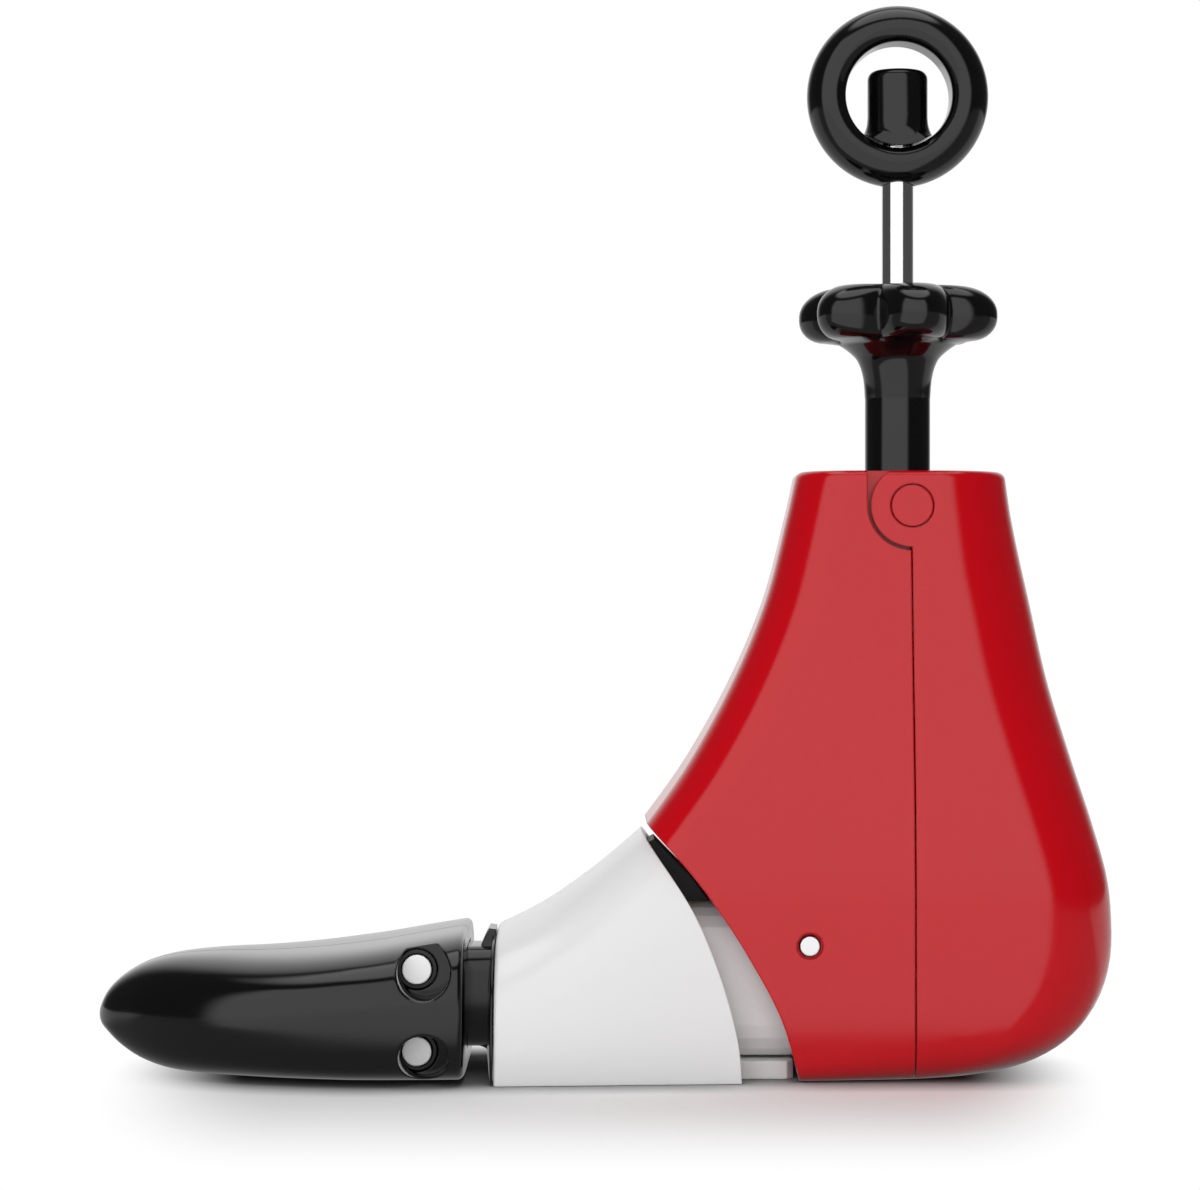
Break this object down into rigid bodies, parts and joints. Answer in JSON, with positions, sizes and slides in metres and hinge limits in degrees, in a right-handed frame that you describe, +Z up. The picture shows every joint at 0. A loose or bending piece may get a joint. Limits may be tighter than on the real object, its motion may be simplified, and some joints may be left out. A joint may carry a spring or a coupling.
{
  "type": "shoe stretcher",
  "caption": "Adjustable shoe stretcher: a swinging heel block, a star knob with a pull ring on a steel rod, a tilting midfoot and a toe that parts lengthways.",
  "frame": {"origin": "on the floor, under the middle of the length and width", "axes": "+X towards the heel, toe at -X; +Y the object's right side; +Z up along the rod"},
  "size_m": [0.241, 0.08, 0.2542],
  "materials": {
    "red_gloss": "glossy red",
    "black_gloss": "glossy black",
    "white_gloss": "satin white",
    "grey_plastic": "light grey",
    "dark_plastic": "dark",
    "polished_steel": "polished",
    "plain_steel": "plain",
    "brass": "turned"
  },
  "bodies": {
    "heel": {"front_heel_shell": "red_gloss", "screw_frame": "plain_steel", "length_nut": "brass", "width_nut": "brass", "ankle_pin": "polished_steel", "frame_screw_left": "plain_steel", "frame_screw_right": "plain_steel", "hinge_pin_left": "red_gloss", "hinge_pin_right": "red_gloss", "ankle_spacer_left": "dark_plastic", "ankle_spacer_right": "dark_plastic"},
    "rear_heel": {"rear_heel_shell": "red_gloss", "heel_ramp": "dark_plastic", "ramp_pin": "plain_steel"},
    "length_carriage": {"carriage": "plain_steel", "follower_pin": "plain_steel", "length_washer": "brass"},
    "length_handle": {"star_knob": "black_gloss", "length_screw": "plain_steel", "length_clip": "plain_steel"},
    "width_carriage": {"width_wedge": "plain_steel", "width_washer": "brass"},
    "width_handle": {"pull_ring": "black_gloss", "ring_boss": "black_gloss", "width_rod": "polished_steel", "width_clip": "plain_steel"},
    "midfoot": {"midfoot_shell": "white_gloss", "arch_core": "grey_plastic", "sole_plate": "grey_plastic", "nose_carrier": "black_gloss", "upper_guide_pin": "polished_steel", "lower_guide_pin": "polished_steel", "sole_screw_1": "plain_steel", "sole_screw_2": "plain_steel", "sole_screw_3": "plain_steel", "sole_screw_4": "plain_steel", "carrier_screw_left": "plain_steel", "carrier_screw_right": "plain_steel"},
    "push_bar": {"push_rod": "plain_steel", "cam_plate": "plain_steel", "cam_rivet": "plain_steel"},
    "toe_left": {"toe_half_left": "black_gloss", "upper_bush_left": "brass", "lower_bush_left": "brass", "cam_pin_left": "plain_steel"},
    "toe_right": {"toe_half_right": "black_gloss", "upper_bush_right": "brass", "lower_bush_right": "brass", "cam_pin_right": "plain_steel"}
  },
  "joints": [
    {"name": "length_slide", "type": "slide", "parent": "heel", "child": "length_carriage", "axis": [0, 0, -1], "range_m": [0, 0.022]},
    {"name": "length_turn", "type": "hinge", "parent": "length_carriage", "child": "length_handle", "pos_m": [0.0709, 0, 0.15], "axis": [0, 0, -1], "range_deg": [0, 1980]},
    {"name": "heel_swing", "type": "hinge", "parent": "heel", "child": "rear_heel", "pos_m": [0.0728, 0, 0.1339], "axis": [0, -1, 0], "range_deg": [0, 8]},
    {"name": "width_slide", "type": "slide", "parent": "heel", "child": "width_carriage", "axis": [0, 0, -1], "range_m": [0, 0.014]},
    {"name": "width_turn", "type": "hinge", "parent": "width_carriage", "child": "width_handle", "pos_m": [0.0709, 0, 0.2], "axis": [0, 0, -1], "range_deg": [0, 2520]},
    {"name": "arch_tilt", "type": "hinge", "parent": "heel", "child": "midfoot", "pos_m": [0.0481, 0, 0.0316], "axis": [0, -1, 0], "range_deg": [0, 20]},
    {"name": "push_slide", "type": "slide", "parent": "midfoot", "child": "push_bar", "axis": [-1, 0, 0], "range_m": [0, 0.005]},
    {"name": "toe_left_slide", "type": "slide", "parent": "midfoot", "child": "toe_left", "axis": [0, -1, 0], "range_m": [0, 0.005]},
    {"name": "toe_right_slide", "type": "slide", "parent": "midfoot", "child": "toe_right", "axis": [0, 1, 0], "range_m": [0, 0.005]}
  ],
  "couplings": [
    {"joint": "length_turn", "follows": "length_slide", "rad_per_m": 1570.8},
    {"joint": "heel_swing", "follows": "length_slide", "rad_per_m": 6.3467},
    {"joint": "width_turn", "follows": "width_slide", "rad_per_m": 3141.6},
    {"joint": "push_slide", "follows": "width_slide", "ratio": 0.35714},
    {"joint": "toe_left_slide", "follows": "width_slide", "ratio": 0.35714},
    {"joint": "toe_right_slide", "follows": "width_slide", "ratio": 0.35714}
  ]
}
